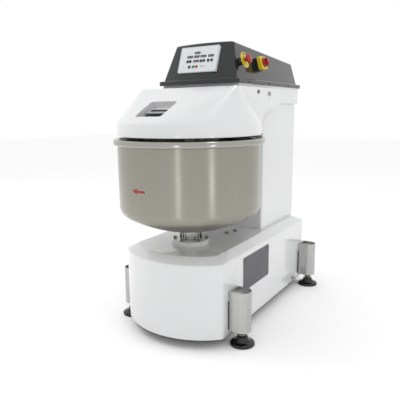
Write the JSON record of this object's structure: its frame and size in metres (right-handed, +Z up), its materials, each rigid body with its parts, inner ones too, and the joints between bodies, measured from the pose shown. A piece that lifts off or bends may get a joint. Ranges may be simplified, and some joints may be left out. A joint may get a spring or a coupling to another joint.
{
  "type": "spiral dough mixer",
  "caption": "Floor-standing commercial spiral dough mixer with a turning stainless bowl, spiral hook, breaker bar, tilting lid, control console and levelling feet.",
  "frame": {"origin": "on the floor, in the middle of the machine's footprint", "axes": "+Z up, +X to the machine's right as seen from the front, -Y towards the front where the bowl is"},
  "size_m": [0.706, 1.132, 1.2738],
  "materials": {
    "white_paint": "gloss",
    "console_grey": "semi-gloss",
    "bowl_steel": "brushed",
    "stainless": "brushed",
    "bright_steel": "turned",
    "zinc": "plated",
    "cast_grey": "satin paint",
    "dark_plate": "satin",
    "panel_grey": "satin",
    "membrane": "satin film",
    "black_plastic": "satin",
    "yellow_plastic": "gloss",
    "red_plastic": "gloss",
    "key_black": "satin",
    "key_green": "satin",
    "key_red": "satin",
    "foot_black": "gloss",
    "belt_rubber": "matt",
    "handle_grey": "satin"
  },
  "bodies": {
    "frame": {"base_shell": "white_paint", "floor_plate": "dark_plate", "side_panels": "panel_grey", "foot_housings": "stainless", "hub_flange": "white_paint", "base_bolts": "zinc", "bowl_bearing_housing": "cast_grey", "shaft_bearings": "bright_steel", "bowl_gearmotor": "cast_grey", "drive_belts": "belt_rubber", "column_shell": "white_paint", "rear_cover": "white_paint", "control_box": "cast_grey", "cable_gland": "black_plastic", "head_housing": "white_paint", "spindle_housing": "white_paint", "countershaft_housing": "cast_grey", "spiral_motor": "cast_grey", "breaker_bar": "stainless", "breaker_bracket": "white_paint", "rear_guard": "stainless", "lid_hinge_pins": "bright_steel", "console_cover": "console_grey", "control_panel": "membrane", "switch_mounts": "black_plastic", "switch_plates": "yellow_plastic", "cover_screws": "zinc"},
    "foot_front_right": {"foot_pad_front_right": "foot_black", "foot_stem_front_right": "zinc"},
    "foot_front_left": {"foot_pad_front_left": "foot_black", "foot_stem_front_left": "zinc"},
    "foot_rear_right": {"foot_pad_rear_right": "foot_black", "foot_stem_rear_right": "zinc"},
    "foot_rear_left": {"foot_pad_rear_left": "foot_black", "foot_stem_rear_left": "zinc"},
    "bowl_assembly": {"bowl": "bowl_steel", "bowl_hub": "bright_steel", "bowl_pulley": "cast_grey"},
    "gearmotor_output": {"gearmotor_pulley": "cast_grey"},
    "spiral": {"spiral_tool": "stainless", "spindle": "bright_steel", "spindle_pulley": "cast_grey"},
    "countershaft": {"countershaft": "cast_grey"},
    "motor_shaft": {"motor_pulley": "cast_grey"},
    "lid": {"lid_shell": "white_paint", "lid_recess": "white_paint", "lid_grip_bar": "handle_grey", "lid_stay_bolts": "zinc"},
    "stop_button": {"stop_button": "red_plastic"},
    "switch_knob": {"switch_knob": "red_plastic"},
    "key_1": {"key_1": "key_black"},
    "key_2": {"key_2": "key_black"},
    "key_3": {"key_3": "key_black"},
    "key_4": {"key_4": "key_black"},
    "key_5": {"key_5": "key_black"},
    "key_6": {"key_6": "key_black"},
    "key_7": {"key_7": "key_black"},
    "start_key": {"start_key": "key_green"},
    "stop_key": {"stop_key": "key_red"}
  },
  "joints": [
    {"name": "foot_front_right_height", "type": "slide", "parent": "frame", "child": "foot_front_right", "axis": [0, 0, -1], "range_m": [0, 0.025]},
    {"name": "foot_front_left_height", "type": "slide", "parent": "frame", "child": "foot_front_left", "axis": [0, 0, -1], "range_m": [0, 0.025]},
    {"name": "foot_rear_right_height", "type": "slide", "parent": "frame", "child": "foot_rear_right", "axis": [0, 0, -1], "range_m": [0, 0.025]},
    {"name": "foot_rear_left_height", "type": "slide", "parent": "frame", "child": "foot_rear_left", "axis": [0, 0, -1], "range_m": [0, 0.025]},
    {"name": "bowl_spin", "type": "hinge", "parent": "frame", "child": "bowl_assembly", "pos_m": [0, -0.236, 0.3], "axis": [0, 0, 1], "continuous": true},
    {"name": "bowl_motor_spin", "type": "hinge", "parent": "frame", "child": "gearmotor_output", "pos_m": [0, 0.214, 0.168], "axis": [0, 0, 1], "continuous": true},
    {"name": "spiral_spin", "type": "hinge", "parent": "frame", "child": "spiral", "pos_m": [0, -0.066, 1], "axis": [0, 0, 1], "continuous": true},
    {"name": "countershaft_spin", "type": "hinge", "parent": "frame", "child": "countershaft", "pos_m": [0, 0.23, 1.06], "axis": [0, 0, 1], "continuous": true},
    {"name": "spiral_motor_spin", "type": "hinge", "parent": "frame", "child": "motor_shaft", "pos_m": [0, 0.44, 1.05], "axis": [0, 0, 1], "continuous": true},
    {"name": "lid_hinge", "type": "hinge", "parent": "frame", "child": "lid", "pos_m": [0, 0.053, 1.053], "axis": [-1, 0, 0], "range_deg": [0, 60]},
    {"name": "stop_button_press", "type": "slide", "parent": "frame", "child": "stop_button", "axis": [-0.9672, 0, -0.2539], "range_m": [0, 0.006]},
    {"name": "main_switch_turn", "type": "hinge", "parent": "frame", "child": "switch_knob", "pos_m": [0.17136, 0.082, 1.185], "axis": [0.9672, 0, 0.2539], "range_deg": [0, 90]},
    {"name": "key_1_press", "type": "slide", "parent": "frame", "child": "key_1", "axis": [0, 0.9397, -0.342], "range_m": [0, 0.0015], "stiffness_N_per_m": 800, "springref_m": -0.0005},
    {"name": "key_2_press", "type": "slide", "parent": "frame", "child": "key_2", "axis": [0, 0.9397, -0.342], "range_m": [0, 0.0015], "stiffness_N_per_m": 800, "springref_m": -0.0005},
    {"name": "key_3_press", "type": "slide", "parent": "frame", "child": "key_3", "axis": [0, 0.9397, -0.342], "range_m": [0, 0.0015], "stiffness_N_per_m": 800, "springref_m": -0.0005},
    {"name": "key_4_press", "type": "slide", "parent": "frame", "child": "key_4", "axis": [0, 0.9397, -0.342], "range_m": [0, 0.0015], "stiffness_N_per_m": 800, "springref_m": -0.0005},
    {"name": "key_5_press", "type": "slide", "parent": "frame", "child": "key_5", "axis": [0, 0.9397, -0.342], "range_m": [0, 0.0015], "stiffness_N_per_m": 800, "springref_m": -0.0005},
    {"name": "key_6_press", "type": "slide", "parent": "frame", "child": "key_6", "axis": [0, 0.9397, -0.342], "range_m": [0, 0.0015], "stiffness_N_per_m": 800, "springref_m": -0.0005},
    {"name": "key_7_press", "type": "slide", "parent": "frame", "child": "key_7", "axis": [0, 0.9397, -0.342], "range_m": [0, 0.0015], "stiffness_N_per_m": 800, "springref_m": -0.0005},
    {"name": "start_key_press", "type": "slide", "parent": "frame", "child": "start_key", "axis": [0, 0.9397, -0.342], "range_m": [0, 0.0015], "stiffness_N_per_m": 800, "springref_m": -0.0005},
    {"name": "stop_key_press", "type": "slide", "parent": "frame", "child": "stop_key", "axis": [0, 0.9397, -0.342], "range_m": [0, 0.0015], "stiffness_N_per_m": 800, "springref_m": -0.0005}
  ],
  "couplings": [
    {"joint": "bowl_motor_spin", "follows": "bowl_spin", "ratio": 3.9583},
    {"joint": "countershaft_spin", "follows": "spiral_spin", "ratio": 2},
    {"joint": "spiral_motor_spin", "follows": "spiral_spin", "ratio": 10}
  ]
}
